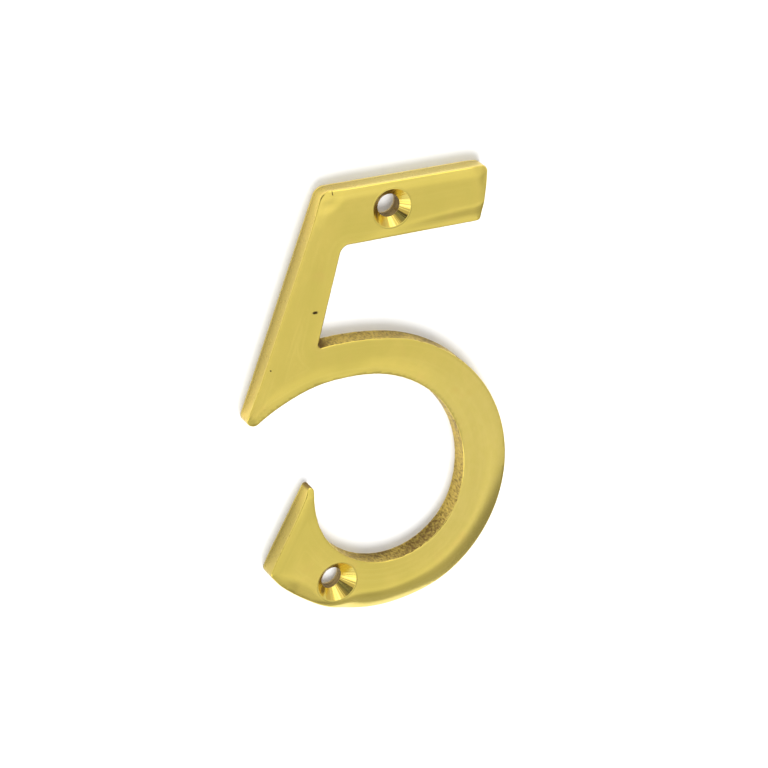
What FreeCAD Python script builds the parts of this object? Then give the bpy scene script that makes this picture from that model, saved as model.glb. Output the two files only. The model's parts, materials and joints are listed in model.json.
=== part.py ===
import FreeCAD
import Part
import os
from math import atan2, cos, degrees, radians, sin, tan

# Cast brass door number, the figure five, drilled and countersunk for two wood screws.
# The flat back lies on y = 0 and the polished face looks along -Y; +X is right and +Z is up on the door.
# The origin is on the back, midway between the two screw holes.
# Lengths are in millimetres and angles in degrees.

# The casting as a whole
height = 75.0
thickness = 3.5

# Screw holes, for countersunk screws of 3.5 mm
hole_pitch_x = 10.2
upper_hole_to_top = 4.3
lower_hole_to_bottom = 7.3
bore_diameter = 3.8
upper_sink_diameter = 6.4
lower_sink_diameter = 6.8
sink_angle = 90.0
drill_overrun = 1.0

# The lower countersink was cut a little off its bore
lower_sink_shift_x = 0.4
lower_sink_shift_z = -0.2

# Bowl, outside: four arcs that run into each other, with the angles where one takes over
bowl_right_of_lower_hole = 9.0
bowl_radius = 21.9
bowl_top_radius = 25.9
bowl_top_from = -18.4
bowl_neck_radius = 45.0
bowl_neck_from = 80.0
heel_radius = 32.0
heel_from = -113.2

# Bowl, inside: three more arcs
stroke_at_bottom = 8.9
hollow_right_of_bowl = 0.9
hollow_low_radius = 13.1
hollow_side_radius = 19.1
hollow_side_from = -17.5
hollow_top_radius = 24.7
hollow_top_from = 75.2

# Free ends of the stroke: the terminal below and the beak at the foot of the stem
tip_angle = 171.9
tip_radius = 0.6
terminal_lean = 28.4
beak_angle = 128.5
beak_radius = 1.2

# Stem and flag
stem_left_lean = 20.1
stem_right_lean = 14.7
stem_width = 6.5
flag_height = 9.3
flag_length = 28.8
flag_end_lean = 9.0

# Rounded corners of the outline
top_left_round = 2.0
top_right_round = 1.0
flag_end_round = 0.8
flag_root_round = 1.6
crotch_round = 0.5
heel_round = 1.0

# Front edges, rolled over by the polishing wheel: most of all round the outside of the bowl
edge_roll = 0.5
flag_roll = 0.8
bowl_roll = 2.2

# Two places nearer than this are one and the same
same_place = 1e-4


def at(x, z):
    """Point of the outline, drawn on the back."""
    return FreeCAD.Vector(x, 0, z)


def towards(angle):
    """Unit step at an angle from +X, turning up towards +Z."""
    return at(cos(radians(angle)), sin(radians(angle)))


def angle_of(centre, point):
    """Angle at which a point is seen from a circle's centre."""
    return degrees(atan2(point.z - centre.z, point.x - centre.x))


def taken_over(centre, radius, next_radius, angle):
    """Centre of the next circle, which touches the first one at that angle from its centre."""
    return centre + towards(angle) * (radius - next_radius)


def arc(centre, radius, start, end):
    """Arc from one angle to another, turning whichever way the angles run."""
    points = [centre + towards(angle) * radius for angle in (start, (start + end) / 2, end)]
    return Part.Arc(*points).toShape()


def line(start, end):
    """Straight edge between two points."""
    return Part.LineSegment(start, end).toShape()


def on_lean(point, lean, z):
    """Point at height z on a line through a point that leans to the right."""
    return at(point.x + tan(radians(lean)) * (z - point.z), z)


def lean_meets_circle(point, lean, centre, radius, side):
    """Where a leaning line leaves a circle: side is +1 at the upper end and -1 at the lower end."""
    along = towards(90 - lean)
    middle = point + along * along.dot(centre - point)
    half_chord = (radius ** 2 - (middle - centre).Length ** 2) ** 0.5
    return middle + along * (side * half_chord)


hole_pitch_z = height - upper_hole_to_top - lower_hole_to_bottom
upper_hole = at(hole_pitch_x / 2, hole_pitch_z / 2)
lower_hole = at(-hole_pitch_x / 2, -hole_pitch_z / 2)
flag_top = upper_hole.z + upper_hole_to_top
flag_under = flag_top - flag_height
bottom = lower_hole.z - lower_hole_to_bottom


def outline():
    """Front view of the numeral, clockwise from the top left, with each corner and its radius."""
    bowl = at(lower_hole.x + bowl_right_of_lower_hole, bottom + bowl_radius)
    bowl_top = taken_over(bowl, bowl_radius, bowl_top_radius, bowl_top_from)
    bowl_neck = taken_over(bowl_top, bowl_top_radius, bowl_neck_radius, bowl_neck_from)
    heel = taken_over(bowl, bowl_radius, heel_radius, heel_from)
    hollow_low = at(bowl.x + hollow_right_of_bowl, bottom + stroke_at_bottom + hollow_low_radius)
    hollow_side = taken_over(hollow_low, hollow_low_radius, hollow_side_radius, hollow_side_from)
    hollow_top = taken_over(hollow_side, hollow_side_radius, hollow_top_radius, hollow_top_from)

    # Each free end is a small round that touches the hollow and carries the straight edge on its left
    tip = hollow_low + towards(tip_angle) * (hollow_low_radius + tip_radius)
    tip_left = 180 - terminal_lean
    terminal_top = tip + towards(tip_left) * tip_radius
    beak = hollow_top + towards(beak_angle) * (hollow_top_radius + beak_radius)
    beak_left = 180 - stem_left_lean
    stem_foot = beak + towards(beak_left) * beak_radius

    top_left = on_lean(stem_foot, stem_left_lean, flag_top)
    top_right = top_left + at(flag_length, 0)
    flag_end = on_lean(top_right, flag_end_lean, flag_under)
    flag_root = on_lean(stem_foot, stem_left_lean, flag_under) + at(stem_width, 0)
    crotch = lean_meets_circle(flag_root, stem_right_lean, bowl_neck, bowl_neck_radius, 1)
    heel_corner = lean_meets_circle(terminal_top, terminal_lean, heel, heel_radius, -1)

    edges = [
        line(top_left, top_right),
        line(top_right, flag_end),
        line(flag_end, flag_root),
        line(flag_root, crotch),
        arc(bowl_neck, bowl_neck_radius, angle_of(bowl_neck, crotch), bowl_neck_from),
        arc(bowl_top, bowl_top_radius, bowl_neck_from, bowl_top_from),
        arc(bowl, bowl_radius, bowl_top_from, heel_from),
        arc(heel, heel_radius, heel_from, angle_of(heel, heel_corner)),
        line(heel_corner, terminal_top),
        arc(tip, tip_radius, tip_left, tip_angle - 180),
        arc(hollow_low, hollow_low_radius, tip_angle - 360, hollow_side_from),
        arc(hollow_side, hollow_side_radius, hollow_side_from, hollow_top_from),
        arc(hollow_top, hollow_top_radius, hollow_top_from, beak_angle),
        arc(beak, beak_radius, beak_angle - 180, beak_left - 360),
        line(stem_foot, top_left),
    ]
    corners = [
        (top_left, top_left_round),
        (top_right, top_right_round),
        (flag_end, flag_end_round),
        (flag_root, flag_root_round),
        (crotch, crotch_round),
        (heel_corner, heel_round),
    ]
    widest_roll = [bowl + towards(angle) * bowl_radius for angle in (bowl_top_from, heel_from)]
    return Part.Wire(edges), corners, widest_roll


def passes(edge, point):
    """Whether an edge runs straight through the thickness at a point of the outline."""
    return all(at(vertex.X, vertex.Z).isEqual(point, same_place) for vertex in edge.Vertexes)


def roll_at(point, widest_roll):
    """Roll radius at a joint between two front edges."""
    if any(at(point.x, point.z).isEqual(place, same_place) for place in widest_roll):
        return bowl_roll
    if abs(point.z - flag_top) < same_place:
        return flag_roll
    return edge_roll


def blank():
    """The casting before polishing and drilling: the outline, with round corners, at full thickness."""
    wire, corners, widest_roll = outline()
    solid = Part.Face(wire).extrude(FreeCAD.Vector(0, -thickness, 0))
    for corner, radius in corners:
        solid = solid.makeFillet(radius, [edge for edge in solid.Edges if passes(edge, corner)])
    return solid, widest_roll


def polished(solid, widest_roll):
    """The casting with its front edges rolled over, by a radius that changes evenly along each edge."""
    document = FreeCAD.newDocument("numeral")
    casting = document.addObject("Part::Feature", "casting")
    casting.Shape = solid
    roll = document.addObject("Part::Fillet", "roll")
    roll.Base = casting
    rolls = []
    for count, edge in enumerate(solid.Edges, 1):
        start = edge.firstVertex(True).Point
        end = edge.lastVertex(True).Point
        if max(start.y, end.y) < same_place - thickness:
            rolls.append((count, roll_at(start, widest_roll), roll_at(end, widest_roll)))
    roll.Edges = rolls
    document.recompute()
    return roll.Shape


def turned(profile, place):
    """Tool turned about a hole's axis, from points given as radius and depth in front of the back."""
    points = [FreeCAD.Vector(radius, -depth, 0) for radius, depth in profile]
    face = Part.Face(Part.makePolygon(points + points[:1]))
    tool = face.revolve(FreeCAD.Vector(0, 0, 0), FreeCAD.Vector(0, 1, 0), 360)
    tool.translate(place)
    return tool


def drill(place):
    """Straight bore right through the casting."""
    bore = bore_diameter / 2
    clear = thickness + drill_overrun
    return turned([(0, -drill_overrun), (bore, -drill_overrun), (bore, clear), (0, clear)], place)


def countersink(place, diameter):
    """Cone that opens to the countersink's diameter at the face."""
    slope = tan(radians(sink_angle / 2))
    clear = thickness + drill_overrun
    point_depth = thickness - diameter / 2 / slope
    return turned([(0, point_depth), (diameter / 2 + drill_overrun * slope, clear), (0, clear)], place)


lower_sink = lower_hole + at(lower_sink_shift_x, lower_sink_shift_z)
tools = [
    drill(upper_hole),
    drill(lower_hole),
    countersink(upper_hole, upper_sink_diameter),
    countersink(lower_sink, lower_sink_diameter),
]
door_number = polished(*blank()).cut(tools).removeSplitter().Solids[0]

os.makedirs("parts", exist_ok=True)
door_number.exportStep("parts/door_number.step")
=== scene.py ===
import json
from math import ceil, cos, pi, radians, sin

import bmesh
import bpy
import numpy as np
from mathutils import Matrix, Vector, kdtree, noise


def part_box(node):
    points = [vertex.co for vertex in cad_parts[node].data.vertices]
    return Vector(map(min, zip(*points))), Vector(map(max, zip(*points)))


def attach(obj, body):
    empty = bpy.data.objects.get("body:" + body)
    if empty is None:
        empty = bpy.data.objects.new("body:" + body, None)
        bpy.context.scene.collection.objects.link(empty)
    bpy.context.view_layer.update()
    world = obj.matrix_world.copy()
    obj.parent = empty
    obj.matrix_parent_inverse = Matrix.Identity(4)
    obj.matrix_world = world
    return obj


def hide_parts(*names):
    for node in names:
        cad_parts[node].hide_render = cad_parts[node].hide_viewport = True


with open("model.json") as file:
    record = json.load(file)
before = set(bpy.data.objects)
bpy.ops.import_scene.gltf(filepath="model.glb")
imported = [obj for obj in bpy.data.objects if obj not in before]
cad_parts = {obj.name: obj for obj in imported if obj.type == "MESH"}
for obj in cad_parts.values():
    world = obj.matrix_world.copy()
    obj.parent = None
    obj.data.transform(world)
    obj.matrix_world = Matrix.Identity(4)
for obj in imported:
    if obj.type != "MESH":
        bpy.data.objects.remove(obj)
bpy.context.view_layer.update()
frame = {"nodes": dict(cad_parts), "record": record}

# Cast brass door number, the figure five, drilled and countersunk for two wood screws.
# The flat back lies on y = 0, the polished face looks along -Y, +X is right and +Z is up on the door.
# Lengths are in metres and angles in degrees. A place on the face is written as x + 1j * z.
mm = 0.001

# Places nearer than this are one and the same, and an edge that turns less than this, in radians, is straight
same_place = 1e-3 * mm
straight = 1e-4

# How far along Y a polygon's normal points, at the least on the back and at the most on the polished face
back_normal = 0.9
face_normal = -0.5

# The casting, from the frame
low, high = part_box("door_number")
thickness = high.y - low.y
openings = {box["name"]: box["box_m"] for box in frame["record"]["physics"]["openings"]}

# Countersinks: the lower one was cut a little off its bore
upper_sink_diameter = 6.4 * mm
lower_sink_diameter = 6.8 * mm
lower_sink_shift = (0.4 - 0.2j) * mm
drill_overrun = 1.0 * mm
drill_sides = 128

# How finely the casting is divided before it is worked
outline_step = 0.3 * mm
face_square = 0.5 * mm
wall_band = 0.35 * mm

# Crisp round that is left on every front edge, and the sharpest turn that is still shaded as round
edge_round = 0.25 * mm
edge_segments = 4
smooth_angle = 35

# Edges that the polishing wheel wore down: the face's slope at the edge, and how far in the wear starts
plain_slope = 0.06
plain_wear = 3.5 * mm
flag_top_slope = 0.6
flag_top_wear = 2.1 * mm
flag_end_slope = 0.18
flag_end_wear = 1.6 * mm
terminal_slope = 0.22
terminal_wear = 1.8 * mm
hollow_wear = 4.0 * mm
hollow_slope_angles = [-70, -30, 0, 30, 60, 112, 128, 150]
hollow_slopes = [0.05, 0.1, 0.12, 0.15, 0.18, 0.18, 0.17, 0.12]
bowl_wear = 4.4 * mm
bowl_slope_angles = [-150, -135, -125, -114, -78, -60, -30, 0, 45, 85]
bowl_slopes = [0.18, 0.25, 0.45, 0.85, 0.8, 0.5, 0.42, 0.2, 0.08, 0.04]
wear_blend = 3.0 * mm

# Which stretches of the outline those edges are
bowl_centre = (3.9 - 17.1j) * mm
bowl_least_reach = 19 * mm
bowl_most_reach = 30 * mm
hollow_top = 4 * mm
flag_top_start = high.z - 3 * mm
flag_end_start = complex(15 * mm, high.z - 10 * mm)
terminal_top = -13 * mm
sideways = 0.7

# Metal round the lower countersink stands a little proud of the worn edge
lip_share = 0.95
lip_width = 2.0 * mm

# Places where the face dips: the middle, the reach along and across, the turn and the depth
dips = {
    "low on the flag": ((20.0 + 27.2j) * mm, (22.0 + 2.8j) * mm, 2, 0.38 * mm),
    "top left corner": ((-6.5 + 36.5j) * mm, (5.0 + 4.0j) * mm, 0, 0.3 * mm),
    "streak by that corner": ((-5.3 + 33.9j) * mm, (2.6 + 1.2j) * mm, 28, 0.22 * mm),
    "top right corner": ((22.6 + 36.2j) * mm, (4.0 + 4.0j) * mm, 0, 0.25 * mm),
    "foot of the stem": ((-21.5 - 3.0j) * mm, (11.0 + 11.0j) * mm, 0, 0.6 * mm),
    "tip of that foot": ((-20.4 - 2.2j) * mm, (3.2 + 3.2j) * mm, 0, 0.35 * mm),
    "top of the terminal": ((-9.3 - 11.5j) * mm, (8.0 + 9.0j) * mm, 0, 0.6 * mm),
    "tip of the terminal": ((-8.6 - 13.6j) * mm, (2.6 + 2.6j) * mm, 0, 0.8 * mm),
    "streak at the heel": ((-12.3 - 31.3j) * mm, (3.4 + 1.3j) * mm, -50, 0.05 * mm),
}

# Corners of the outline that are rubbed round: the corner, the reach, and how far it was rubbed in
rubbed_corners = {
    "top right": ((21.9 + 36.0j) * mm, 2.6 * mm, (0.05 + 0.15j) * mm),
    "heel": ((-16.6 - 28.6j) * mm, 3.2 * mm, (-0.2 - 0.05j) * mm),
}

# Slow waves that polishing by hand left on the face
wave_length = 9.0 * mm
wave_height = 0.012 * mm

# Skin of the mould on the walls, and what is left of it where the wheel went over it
skin_grain = 0.7 * mm
skin_depth = 0.07 * mm
wheeled_depth = 0.025 * mm

# Walls nearer than this to the middle of an opening, and facing it, were out of the wheel's reach
wheel_reach = 26 * mm
wheel_fade = 6 * mm
facing_fade = 0.2


def only(piece):
    """Selects one piece and makes it the active one."""
    bpy.ops.object.select_all(action="DESELECT")
    piece.select_set(True)
    bpy.context.view_layer.objects.active = piece


def new_piece(name, corners, edges):
    """Piece made of corners and the edges between them, selected for work in edit mode."""
    mesh = bpy.data.meshes.new(name)
    mesh.from_pydata(corners, edges, [])
    piece = bpy.data.objects.new(name, mesh)
    bpy.context.scene.collection.objects.link(piece)
    only(piece)
    bpy.ops.object.mode_set(mode="EDIT")
    bpy.ops.mesh.select_all(action="SELECT")
    return piece


def apply_modifier(piece, kind, **settings):
    """Adds a modifier to a piece and applies it."""
    only(piece)
    modifier = piece.modifiers.new(kind.lower(), kind)
    for name, value in settings.items():
        setattr(modifier, name, value)
    bpy.ops.object.modifier_apply(modifier=modifier.name)


def back_loops(node):
    """Closed edges round a node's flat back and its bores, each as places in order, the longest first."""
    copy = bmesh.new()
    copy.from_mesh(node.data)
    bmesh.ops.remove_doubles(copy, verts=copy.verts, dist=same_place)
    copy.normal_update()
    back = {face for face in copy.faces if face.normal.y > back_normal}
    rim = {edge for edge in copy.edges if len(back.intersection(edge.link_faces)) == 1}
    loops = []
    while rim:
        edge = rim.pop()
        first, vertex = edge.verts
        loop = [first]
        while vertex is not first:
            loop.append(vertex)
            edge = next(edge for edge in vertex.link_edges if edge in rim)
            rim.remove(edge)
            vertex = edge.other_vert(vertex)
        loops.append(np.array([complex(vertex.co.x, vertex.co.z) for vertex in loop]))
    copy.free()
    return sorted(loops, key=np.ptp, reverse=True)


def drawn_round(loop):
    """The loop, counterclockwise, with its arcs drawn true: each edge is a straight run or one arc's chord.

    The turn at a corner is half the turn of the arc before it and half that of the arc after it, so the
    half turns follow from one another, starting at the longest edge, which is straight.
    """
    if (loop.conj() * np.roll(loop, -1)).imag.sum() < 0:
        loop = loop[::-1]
    loop = np.roll(loop, -np.argmax(abs(np.roll(loop, -1) - loop)))
    chords = np.roll(loop, -1) - loop
    turns = np.angle(chords / np.roll(chords, 1))
    points = []
    half_turn = turns[0]
    for start, chord, turn in zip(loop, chords, turns):
        half_turn = turn - half_turn
        steps = ceil(abs(chord) / outline_step)
        along = np.arange(steps) / steps
        if abs(half_turn) > straight:
            along = np.exp(1j * half_turn * (along - 1)) * np.sin(half_turn * along) / sin(half_turn)
        points.extend(start + chord * along)
    return np.array(points)


def blank(outline):
    """The casting as it left the mould: its outline, raised to its thickness, with its front edge rounded."""
    count = len(outline)
    corners = [(place.real, high.y, place.imag) for place in outline]
    numeral = new_piece("brass_numeral", corners, [(turn, (turn + 1) % count) for turn in range(count)])
    bpy.ops.mesh.edge_face_add()
    bpy.ops.mesh.extrude_region_move(TRANSFORM_OT_translate={"value": (0, -thickness, 0)})
    bpy.ops.mesh.region_to_loop()
    bpy.ops.mesh.bevel(offset=edge_round, segments=edge_segments, profile=0.5, clamp_overlap=False)
    bpy.ops.mesh.select_all(action="SELECT")
    bpy.ops.mesh.normals_make_consistent(inside=False)
    bpy.ops.object.mode_set(mode="OBJECT")
    return numeral


def divide(numeral):
    """Cuts the face into small squares and the walls into bands, so that they can be worked."""
    across = np.arange(low.x + face_square / 2, high.x, face_square)
    bands = np.arange(low.y + edge_round + wall_band / 2, high.y - wall_band / 2, wall_band)
    rows = np.arange(low.z + face_square / 2, high.z, face_square)
    only(numeral)
    bpy.ops.object.mode_set(mode="EDIT")
    for normal, cuts in zip(Matrix.Identity(3), (across, bands, rows)):
        for cut in cuts:
            bpy.ops.mesh.select_all(action="SELECT")
            bpy.ops.mesh.bisect(plane_co=normal * cut, plane_no=normal)
    bpy.ops.object.mode_set(mode="OBJECT")


def outward(outline):
    """Unit steps out of the outline at each of its points."""
    along = np.roll(outline, -1) - np.roll(outline, 1)
    return -1j * along / abs(along)


def edge_wear(outline):
    """Slope of the face at each point of the outline, and how far in the wear starts there."""
    out = outward(outline)
    from_bowl = outline - bowl_centre
    reach = abs(from_bowl)
    angle = np.degrees(np.angle(from_bowl))
    faces_out = (from_bowl * out.conj()).real > 0
    slope = np.full(len(outline), plain_slope)
    wear = np.full(len(outline), plain_wear)

    bowl = faces_out & (reach > bowl_least_reach) & (reach < bowl_most_reach)
    bowl &= (angle > bowl_slope_angles[0]) & (angle < bowl_slope_angles[-1])
    slope[bowl] = np.interp(angle[bowl], bowl_slope_angles, bowl_slopes)
    wear[bowl] = bowl_wear

    hollow = ~faces_out & (reach < bowl_most_reach)
    hollow &= (outline.imag < hollow_top) & (angle > hollow_slope_angles[0])
    slope[hollow] = np.interp(angle[hollow], hollow_slope_angles, hollow_slopes)
    wear[hollow] = hollow_wear

    flag_end = (out.real > sideways) & (outline.real > flag_end_start.real)
    flag_end &= outline.imag > flag_end_start.imag
    slope[flag_end] = flag_end_slope
    wear[flag_end] = flag_end_wear

    terminal = faces_out & (out.real < -sideways) & (outline.imag < terminal_top)
    slope[terminal] = terminal_slope
    wear[terminal] = terminal_wear

    flag_top = outline.imag > flag_top_start
    slope[flag_top] = flag_top_slope
    wear[flag_top] = flag_top_wear

    steps = int(wear_blend / outline_step)
    turns = range(-steps, steps + 1)
    return [np.mean([np.roll(values, turn) for turn in turns], axis=0) for values in (slope, wear)]


def bump(share):
    """Smooth hump that is 1 in its middle and 0 from a share of 1 outwards."""
    return (1 - np.minimum(share, 1) ** 2) ** 2


def uneven(places, grain):
    """Smooth random height between 0 and 1 at each place, with hills of about that size."""
    return np.array([0.5 + 0.5 * noise.noise(Vector(place) / grain) for place in places])


def out_of_reach(here, out):
    """1 where a wall faces an opening close by, so that no wheel could reach it, and soft down to 0."""
    share = np.zeros(len(here))
    for name in ("bowl_hollow", "under_flag"):
        (left, front, bottom), (right, back, top) = openings[name]
        step = complex(left + right, bottom + top) / 2 - here
        near = np.clip((wheel_reach - abs(step)) / wheel_fade, 0, 1)
        facing = np.clip(0.5 + (step * out.conj()).real / abs(step) / facing_fade, 0, 1)
        share = np.maximum(share, near * facing)
    return share


def work(numeral, outline, lower_sink):
    """Wears the face down towards its edges, as the polishing wheel did, and leaves the walls uneven."""
    mesh = numeral.data
    places = np.empty(len(mesh.vertices) * 3)
    mesh.vertices.foreach_get("co", places)
    places = places.reshape(-1, 3)
    tree = kdtree.KDTree(len(outline))
    for index, place in enumerate(outline):
        tree.insert((place.real, 0, place.imag), index)
    tree.balance()
    nearest = np.array([tree.find((x, 0, z))[1] for x, y, z in places])
    out = outward(outline)[nearest]
    here = places[:, 0] + 1j * places[:, 2]
    inset = np.maximum(((outline[nearest] - here) * out.conj()).real, 0)

    # How far the face is worn down
    slope, wear = (values[nearest] for values in edge_wear(outline))
    drop = slope * np.maximum(wear - inset, 0) ** 2 / (2 * wear)
    gap = np.maximum(abs(here - lower_sink) - lower_sink_diameter / 2, 0)
    drop *= 1 - lip_share * np.exp(-(gap / lip_width) ** 2)
    for middle, reach, turn, depth in dips.values():
        step = (here - middle) * np.exp(-1j * radians(turn))
        drop += depth * bump(np.hypot(step.real / reach.real, step.imag / reach.imag))
    drop += wave_height * uneven(places, wave_length)

    # How far the walls are sunk in
    skin = out_of_reach(here, out)
    depth = wheeled_depth + (skin_depth - wheeled_depth) * skin
    sunk = out * depth * uneven(places, skin_grain) * bump(inset / edge_round)
    for corner, reach, rubbed in rubbed_corners.values():
        sunk += rubbed * bump(abs(here - corner) / reach)

    places[:, 0] -= sunk.real
    places[:, 1] *= 1 - drop / thickness
    places[:, 2] -= sunk.imag
    mesh.vertices.foreach_set("co", places.ravel())
    for name, values in {"inset": inset, "skin": skin}.items():
        mesh.attributes.new(name, "FLOAT", "POINT").data.foreach_set("value", values)
    mesh.update()


def turned_tool(place, profile, finish, name):
    """Tool turned about a hole's axis, from a list of radius and depth in front of the back."""
    corners = [(radius, -depth, 0) for radius, depth in profile]
    tool = new_piece(name, corners, [(turn, turn + 1) for turn in range(len(profile) - 1)])
    bpy.ops.mesh.spin(steps=drill_sides, angle=2 * pi, center=(0, 0, 0), axis=(0, 1, 0))
    bpy.ops.mesh.select_all(action="SELECT")
    bpy.ops.mesh.remove_doubles(threshold=same_place)
    bpy.ops.mesh.normals_make_consistent(inside=False)
    bpy.ops.object.mode_set(mode="OBJECT")
    tool.data.transform(Matrix.Translation((place.real, 0, place.imag)))
    tool.data.materials.append(finish)
    return tool


def drill(numeral, bore, sink, sink_diameter, bore_finish, sink_finish):
    """Drills one hole through the casting and countersinks it at 90 degrees."""
    place = bore.mean()
    radius = abs(bore - place).mean()
    clear = thickness + drill_overrun
    drilling = [(0, -drill_overrun), (radius, -drill_overrun), (radius, clear), (0, clear)]
    sinking = [(0, thickness - sink_diameter / 2), (sink_diameter / 2 + drill_overrun, clear), (0, clear)]
    tools = [
        turned_tool(place, drilling, bore_finish, "drill"),
        turned_tool(sink, sinking, sink_finish, "countersink"),
    ]
    settings = {"operation": "DIFFERENCE", "solver": "EXACT", "material_mode": "TRANSFER"}
    for tool in tools:
        apply_modifier(numeral, "BOOLEAN", object=tool, **settings)
        bpy.data.objects.remove(tool)


# A spot is full out to this share of its reach
spot_core = 0.3


class Finish:
    """One output of a node in a node tree: arithmetic with it adds nodes to the tree."""

    def __init__(self, tree, node=None, output=0):
        self.tree = tree
        self.node = node
        self.output = output

    def add(self, kind, settings=None, inputs=None, output=0):
        """Adds a node, its settings first and then the values or links of its inputs, and gives an output."""
        node = self.tree.nodes.new("ShaderNode" + kind)
        for name, value in (settings or {}).items():
            setattr(node, name, value)
        for name, value in (inputs or {}).items():
            if isinstance(value, Finish):
                self.tree.links.new(value.node.outputs[value.output], node.inputs[name])
            else:
                node.inputs[name].default_value = value
        return Finish(self.tree, node, output)

    def out(self, output):
        """Another output of the same node."""
        return Finish(self.tree, self.node, output)

    def maths(self, operation, *values):
        """Result of a sum on values."""
        return self.add("Math", {"operation": operation}, dict(enumerate(values)))

    def vector(self, operation, *values, output="Vector"):
        """Result of a sum on vectors."""
        return self.add("VectorMath", {"operation": operation}, dict(enumerate(values)), output)

    def __add__(self, other):
        return self.maths("ADD", self, other)

    def __sub__(self, other):
        return self.maths("SUBTRACT", self, other)

    def __rsub__(self, other):
        return self.maths("SUBTRACT", other, self)

    def __mul__(self, other):
        return self.maths("MULTIPLY", self, other)

    __radd__ = __add__
    __rmul__ = __mul__

    def ramp(self, start, end):
        """0 up to the start, 1 from the end, and smooth between."""
        settings = {"interpolation_type": "SMOOTHSTEP"}
        return self.add("MapRange", settings, {"Value": self, "From Min": start, "From Max": end})

    def blend(self, first, second):
        """Colour that goes from the first to the second with this value.

        The sockets for colours go by number, because those for numbers and vectors have the same names.
        """
        return self.add("Mix", {"data_type": "RGBA"}, {0: self, 6: first, 7: second}, 2)

    def grain(self, sizes, detail=2.0, output="Fac"):
        """Noise at this place, with grains of those sizes in x, y and z."""
        inputs = {"Vector": self.vector("DIVIDE", self, sizes), "Scale": 1.0, "Detail": detail}
        return self.add("TexNoise", inputs=inputs, output=output)

    def step_from(self, middle):
        """Step to this place from one on the face."""
        return self.vector("SUBTRACT", self, (middle.real, 0, middle.imag))

    def length(self):
        """Length of this step."""
        return self.vector("LENGTH", self, output="Value")

    def ring(self, middle, radius, width):
        """1 on a ring round a place on the face and 0 beyond its width."""
        step = self.step_from(middle)
        off = step.vector("MULTIPLY", step, (1, 0, 1)).length() - radius
        return 1 - off.maths("ABSOLUTE", off).ramp(0, width)

    def spot(self, middle, reach):
        """1 in the middle of a spot on the face and 0 beyond its reach in x and z."""
        share = self.vector("DIVIDE", self.step_from(middle), (reach.real, 1, reach.imag))
        return 1 - share.length().ramp(spot_core, 1)


def new_finish(name):
    """Empty material, its node tree and the place on the object."""
    material = bpy.data.materials.new(name)
    material.use_nodes = True
    material.node_tree.nodes.clear()
    tree = Finish(material.node_tree)
    return material, tree, tree.add("TexCoord", output="Object")


def metal(tree, colour, roughness, height, relief):
    """Metal surface with a colour, a roughness and a relief of that depth."""
    normal = tree.add("Bump", inputs={"Strength": 1.0, "Distance": relief, "Height": height})
    inputs = {"Base Color": colour, "Metallic": 1.0, "Roughness": roughness, "Normal": normal}
    tree.add("OutputMaterial", inputs={"Surface": tree.add("BsdfPrincipled", inputs=inputs)})


# Colours of the brass, from the polished face to the dirt in its pits, and a few that are painted light
gold = (0.76, 0.60, 0.135, 1)
olive_gold = (0.70, 0.565, 0.12, 1)
red_gold = (0.76, 0.545, 0.14, 1)
# Painted light: paler gold for the side of the bowl that the light makes paler
painted_light_gold = (0.77, 0.615, 0.175, 1)
line_gold = (0.86, 0.71, 0.20, 1)
# Painted highlight: lighter gold for the wall along the top of the flag
painted_highlight_gold = (0.88, 0.73, 0.24, 1)
warm_gold = (0.80, 0.62, 0.20, 1)
darker_wall_gold = (0.53, 0.41, 0.10, 1)
darkest_wall_brown = (0.38, 0.30, 0.07, 1)
cut_gold = (0.84, 0.70, 0.18, 1)
cut_shade = (0.70, 0.50, 0.10, 1)
bare_skin = (0.66, 0.50, 0.12, 1)
rubbed_skin = (0.74, 0.58, 0.19, 1)
dark_skin = (0.20, 0.125, 0.035, 1)
belt_gold = (0.60, 0.46, 0.15, 1)
belt_shade = (0.51, 0.38, 0.12, 1)
bore_gold = (0.52, 0.40, 0.17, 1)
bore_shade = (0.26, 0.17, 0.07, 1)
brown = (0.20, 0.125, 0.04, 1)
dark_brown = (0.07, 0.045, 0.016, 1)

# Marks, patches and painted light: the middle on the face, and the reach in x and z
pits = [
    ((-8.17 + 16.41j) * mm, (0.66 + 0.34j) * mm),
    ((-15.81 + 7.94j) * mm, (0.20 + 0.18j) * mm),
    ((-4.8 + 35.6j) * mm, (0.09 + 0.50j) * mm),
    ((16.09 + 5.24j) * mm, (0.40 + 0.25j) * mm),
]
sink_marks = [
    ((2.75 + 31.1j) * mm, (0.55 + 1.9j) * mm),
    ((-6.9 - 33.2j) * mm, (0.9 + 0.8j) * mm),
]
# Painted light: the right side of the bowl is painted paler, where the light on it is paler
painted_light_side = [((18.0 - 14.0j) * mm, (20.0 + 26.0j) * mm)]
# Stretches of the stem's and the terminal's walls that are coloured darker
darker_wall_patches = [
    ((-13.0 + 16.0j) * mm, (14.0 + 26.0j) * mm),
    ((-14.0 - 24.0j) * mm, (9.0 + 14.0j) * mm),
]
# The terminal's wall is coloured darker still here
darkest_wall_patch = [((-14.5 - 22.0j) * mm, (7.0 + 13.0j) * mm)]
# Painted highlight: the wall along the top of the flag is painted lighter, as a brighter reflection
painted_highlight_walls = [((9.0 + 37.0j) * mm, (20.0 + 4.0j) * mm)]
darker_skin = [((8.0 - 31.0j) * mm, (13.0 + 7.0j) * mm)]
stains = [
    ((-8.8 - 14.3j) * mm, (1.2 + 0.8j) * mm),
    ((-7.07 + 10.3j) * mm, (1.6 + 2.4j) * mm),
    ((22.2 + 35.7j) * mm, (0.9 + 0.8j) * mm),
]
ragged_grain = 0.25 * mm
ragged_shift = 0.3 * mm

# Raised rims of the countersinks
rim_width = 0.14 * mm

# The wheel's lines run along the edges: this many times closer together than they are long
line_closeness = 30

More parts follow.
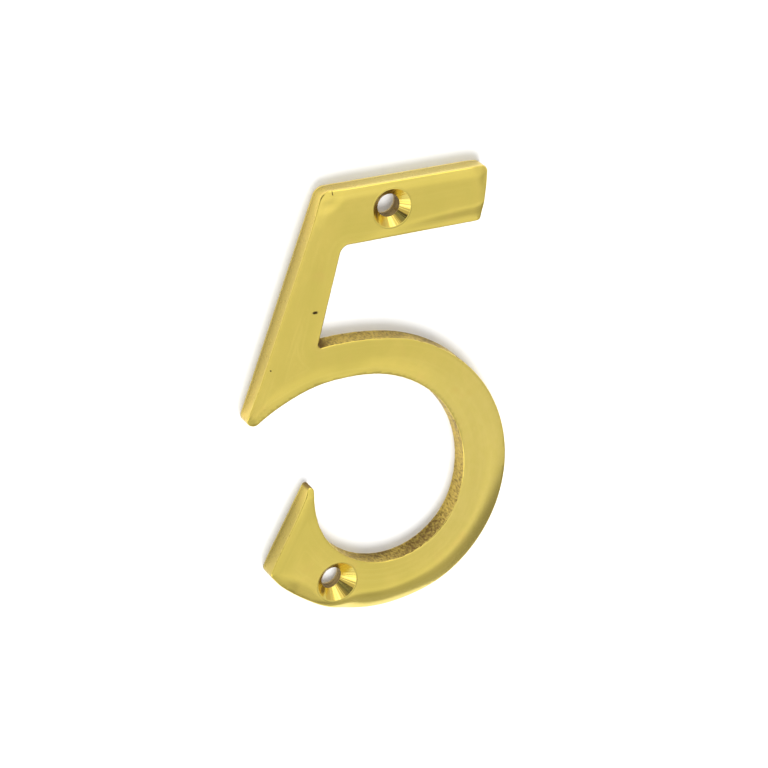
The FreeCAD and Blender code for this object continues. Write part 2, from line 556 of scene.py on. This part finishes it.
# Roughness of each surface where it is smoothest, and the depth of its relief
face_roughness = 0.17
face_relief = 0.01 * mm
wheeled_roughness = 0.27
wheeled_relief = 0.03 * mm
cast_roughness = 0.38
cast_relief = 0.09 * mm
back_roughness = 0.4
back_relief = 0.03 * mm
sink_roughness = 0.12
sink_relief = 0.1 * mm
bore_roughness = 0.35
bore_relief = 0.04 * mm


def patches(place, places):
    """Soft patches at the places."""
    return sum((place.spot(middle, reach) for middle, reach in places), 0.0)


def spots(place, places):
    """Ragged spots at the places."""
    ragged = place.grain((ragged_grain,) * 3, 3.0, "Color")
    ragged = place.vector("SUBTRACT", ragged, (0.5, 0.5, 0.5))
    moved = place.vector("MULTIPLY_ADD", ragged, (ragged_shift,) * 3, place)
    return patches(moved, places)


def polished_brass(sinks):
    """Face: hand polished, with soft clouds, a side painted paler as painted light, faint lines from the
    wheel, a few pits and raised rims.
    """
    material, tree, place = new_finish("polished_brass")
    clouds = place.grain((7 * mm, 7 * mm, 10 * mm)).ramp(0.3, 0.7)
    warm = place.grain((4 * mm,) * 3, 3.0).ramp(0.55, 0.8)
    mottle = place.grain((1.2 * mm, 1.2 * mm, 1.6 * mm), 3.0)
    inset = tree.add("Attribute", {"attribute_name": "inset"}, output="Fac")
    along = tree.add("CombineXYZ", inputs={"X": inset * line_closeness})
    lines = place.vector("ADD", place, along).grain((12 * mm,) * 3, 4.0)
    pitted = spots(place, pits)
    rims = sum(place.ring(middle, diameter / 2 + rim_width, rim_width) for middle, diameter in sinks)
    colour = clouds.blend(olive_gold, gold)
    # Painted light on the bowl's right side
    colour = (patches(place, painted_light_side) * 0.7).blend(colour, painted_light_gold)
    colour = (warm * 0.5).blend(colour, red_gold)
    colour = (mottle.ramp(0.35, 0.65) * 0.3).blend(colour, olive_gold)
    colour = (lines.ramp(0.45, 0.7) * 0.15).blend(colour, line_gold)
    colour = (pitted * 1.3).blend(colour, dark_brown)
    roughness = face_roughness + lines * 0.05 + pitted * 0.3
    metal(tree, colour, roughness, lines * 0.2 - pitted + rims * 3, face_relief)
    return material


def wheeled_wall(place):
    """Walls that the wheel reached, as colour, roughness and relief: smooth, with streaks, brown spots,
    darker stretches and a painted highlight atop the flag.
    """
    streaks = place.grain((8 * mm, 0.35 * mm, 8 * mm))
    spotted = place.grain((0.6 * mm, 0.5 * mm, 0.9 * mm), 3.0).ramp(0.62, 0.8)
    clouds = place.grain((5 * mm, 2 * mm, 5 * mm))
    colour = streaks.ramp(0.3, 0.7).blend(olive_gold, red_gold)
    colour = (clouds.ramp(0.5, 0.75) * 0.5).blend(colour, warm_gold)
    colour = (patches(place, darker_wall_patches) * 0.9).blend(colour, darker_wall_gold)
    colour = (patches(place, darkest_wall_patch) * 0.45).blend(colour, darkest_wall_brown)
    # Painted highlight on the flag's top wall
    colour = (patches(place, painted_highlight_walls) * 0.8).blend(colour, painted_highlight_gold)
    colour = (spotted * 0.5).blend(colour, brown)
    return colour, wheeled_roughness + spotted * 0.2, (streaks * 0.5 - spotted) * wheeled_relief


def cast_wall(place):
    """Walls that no wheel reached, as colour, roughness and relief: the dull, mottled skin of the mould."""
    coarse = place.grain((0.28 * mm, 0.7 * mm, 0.28 * mm), 4.0)
    slow = place.grain((5 * mm,) * 3, 3.0)
    fine = place.grain((0.2 * mm,) * 3, 3.0)
    darker = patches(place, darker_skin)
    bare = (coarse * 0.6 + slow * 0.4 - darker * 0.07).ramp(0.33, 0.62)
    colour = bare.blend(dark_skin, bare_skin)
    colour = (fine.ramp(0.55, 0.75) * 0.5).blend(colour, rubbed_skin)
    return colour, cast_roughness + fine * 0.3, (coarse + fine * 0.5) * cast_relief


def wall_brass():
    """Walls: what the wheel reached runs softly into the skin of the mould, with stains in the corners."""
    material, tree, place = new_finish("wall_brass")
    skin = tree.add("Attribute", {"attribute_name": "skin"}, output="Fac")
    stained = spots(place, stains)
    colours, roughness, reliefs = zip(wheeled_wall(place), cast_wall(place))
    colour = (stained * 0.85).blend(skin.blend(*colours), brown)
    rough = roughness[0] * (1 - skin) + roughness[1] * skin
    relief = reliefs[0] * (1 - skin) + reliefs[1] * skin
    metal(tree, colour, rough + stained * 0.2, relief, 1.0)
    return material


def dull_back():
    """Back: rubbed flat on a coarse belt and left dull."""
    material, tree, place = new_finish("dull_back")
    scratches = place.grain((0.12 * mm, 1 * mm, 6 * mm), 3.0)
    clouds = place.grain((8 * mm,) * 3, 4.0)
    colour = clouds.ramp(0.3, 0.7).blend(belt_shade, belt_gold)
    colour = (scratches.ramp(0.45, 0.75) * 0.6).blend(colour, gold)
    metal(tree, colour, back_roughness + scratches * 0.2, scratches, back_relief)
    return material


def countersunk_brass(sinks):
    """Countersinks: bright cuts with fine rays, where the tool chattered."""
    material, tree, place = new_finish("countersunk_brass")
    rays = 0.0
    for middle, diameter in sinks:
        step = place.step_from(middle)
        near = step.maths("LESS_THAN", step.length(), diameter)
        ray = step.vector("NORMALIZE", step.vector("MULTIPLY", step, (1, 0, 1)))
        rays = rays + near * ray.grain((0.2, 1, 0.2))
    cloudy = place.grain((0.9 * mm,) * 3)
    marked = spots(place, sink_marks)
    colour = rays.ramp(0.35, 0.65).blend(cut_shade, cut_gold)
    colour = (marked * 0.9).blend(colour, brown)
    roughness = sink_roughness + cloudy * 0.12 + marked * 0.2
    metal(tree, colour, roughness, rays, sink_relief)
    return material


def drilled_bore():
    """Bores: dull, with rings from the drill."""
    material, tree, place = new_finish("drilled_bore")
    rings = place.grain((3 * mm, 0.15 * mm, 3 * mm))
    colour = rings.ramp(0.3, 0.7).blend(bore_shade, bore_gold)
    metal(tree, colour, bore_roughness + rings * 0.2, rings, bore_relief)
    return material


def give_finishes(numeral):
    """Gives the walls and the back their finishes, by the way that they look."""
    slots = {slot.name: index for index, slot in enumerate(numeral.data.materials)}
    for polygon in numeral.data.polygons:
        if polygon.material_index == slots["polished_brass"] and polygon.normal.y > face_normal:
            polygon.material_index = slots["dull_back" if polygon.normal.y > back_normal else "wall_brass"]


numeral_outline, *bores = [drawn_round(loop) for loop in back_loops(frame["nodes"]["door_number"])]
lower_bore, upper_bore = sorted(bores, key=lambda bore: bore.mean().imag)
upper_sink = upper_bore.mean()
lower_sink = lower_bore.mean() + lower_sink_shift
sinks = [(upper_sink, upper_sink_diameter), (lower_sink, lower_sink_diameter)]
bore_finish = drilled_bore()
sink_finish = countersunk_brass(sinks)

numeral = blank(numeral_outline)
for finish in (polished_brass(sinks), wall_brass(), dull_back()):
    numeral.data.materials.append(finish)
divide(numeral)
work(numeral, numeral_outline, lower_sink)
for bore, (sink, sink_diameter) in zip((upper_bore, lower_bore), sinks):
    drill(numeral, bore, sink, sink_diameter, bore_finish, sink_finish)
give_finishes(numeral)
only(numeral)
bpy.ops.object.shade_smooth_by_angle(angle=radians(smooth_angle))
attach(numeral, "root")
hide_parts("door_number")

# White sheet behind the numeral: what is seen of it is a little darker than what lights the numeral.
# Rays that start close to it pass through it, and nothing of it shows from behind.
sheet_size = 1.2
sheet_gap = 0.1 * mm
close_distance = 0.5 * mm
sheet_white = 0.9
sheet_seen_white = 0.84

# Light tent: the cloth's level, and places in it by direction, inner and outer angle, and what they add
cloth_level = 0.86
tent_places = {
    "bright above": ((0, 0, 1), 84, 107, 0.2),
    "glow over the dark floor": ((0.5, 0, -0.866), 48.3, 54.9, 0.21),
    "dark floor": ((0.5, 0, -0.866), 33.9, 46.4, -0.48),
    "bright left side": ((-1, 0, 0), 98, 110, 0.08),
    "dark right side": ((1, 0, 0), 40, 63, -0.27),
    "gap high on the left": ((-0.556, -0.57, 0.604), 14, 23, -0.85),
    "dim left wall": ((-0.86, -0.5, 0.1), 18, 36, -0.35),
    "dark floor on the left": ((-0.1, -0.6, -0.79), 16, 28, -0.35),
    "window above": ((0.36, -0.42, 0.83), 8, 16, 1.0),
    "window low on the left": ((-0.82, -0.39, -0.42), 10, 22, 1.1),
}

# Lamp below the camera, in metres and watts
lamp_direction = Vector((0.07, -0.85, -0.53))
lamp_distance = 0.9
lamp_size = 0.6
lamp_power = 8.0

# Camera above and to the left of the numeral, with its lens in millimetres
camera_place = Vector((-196.7, -424.9, 217.5)) * mm
camera_aim = Vector((3.31, -4.31, 2.28)) * mm
camera_lens = 151.5
camera_near = 10 * mm


def white_sheet():
    """Sheet that the numeral lies on."""
    settings = {"size": sheet_size, "location": (0, high.y + sheet_gap, 0), "rotation": (pi / 2, 0, 0)}
    bpy.ops.mesh.primitive_plane_add(**settings)
    sheet = bpy.context.object
    sheet.name = "white_sheet"
    material, tree, place = new_finish("white_paper")
    ray = tree.add("LightPath")
    seen = ray.maths("MAXIMUM", ray.out("Is Camera Ray"), ray.out("Is Glossy Ray"))
    colour = seen.blend((sheet_white,) * 3 + (1,), (sheet_seen_white,) * 3 + (1,))
    paper = tree.add("BsdfDiffuse", inputs={"Color": colour})
    behind = tree.add("NewGeometry", output="Backfacing")
    close = ray.maths("LESS_THAN", ray.out("Ray Length"), close_distance)
    through = behind.maths("MAXIMUM", behind, close)
    shader = tree.add("MixShader", inputs={0: through, 1: paper, 2: tree.add("BsdfTransparent")})
    tree.add("OutputMaterial", inputs={"Surface": shader})
    sheet.data.materials.append(material)


def light_tent():
    """World: soft light from all round, and white where the camera sees it."""
    world = bpy.data.worlds.new("light_tent")
    bpy.context.scene.world = world
    world.use_nodes = True
    world.node_tree.nodes.clear()
    tree = Finish(world.node_tree)
    direction = tree.add("TexCoord", output="Generated")
    level = cloth_level
    for axis, inner, outer, gain in tent_places.values():
        facing = direction.vector("DOT_PRODUCT", direction, Vector(axis).normalized(), output="Value")
        level = level + gain * facing.ramp(cos(radians(outer)), cos(radians(inner)))
    seen = tree.add("LightPath", output="Is Camera Ray")
    inputs = {"Color": (1, 1, 1, 1), "Strength": seen.maths("MAXIMUM", seen, level)}
    tree.add("OutputWorld", inputs={"Surface": tree.add("Background", inputs=inputs)})


def place_lamp():
    """Round lamp that looks at the numeral and isn't seen itself."""
    data = bpy.data.lights.new("key", "AREA")
    data.shape = "DISK"
    data.size = lamp_size
    data.energy = lamp_power
    lamp = bpy.data.objects.new("key", data)
    bpy.context.scene.collection.objects.link(lamp)
    lamp.location = lamp_direction.normalized() * lamp_distance
    lamp.rotation_euler = lamp.location.to_track_quat("Z", "Y").to_euler()
    lamp.visible_glossy = False
    lamp.visible_camera = False


def place_camera():
    """Camera that takes the picture."""
    data = bpy.data.cameras.new("camera")
    data.lens = camera_lens
    data.clip_start = camera_near
    camera = bpy.data.objects.new("camera", data)
    bpy.context.scene.collection.objects.link(camera)
    camera.location = camera_place
    camera.rotation_euler = (camera_place - camera_aim).to_track_quat("Z", "Y").to_euler()
    bpy.context.scene.camera = camera


white_sheet()
light_tent()
place_lamp()
place_camera()
bpy.context.scene.view_settings.view_transform = "Standard"
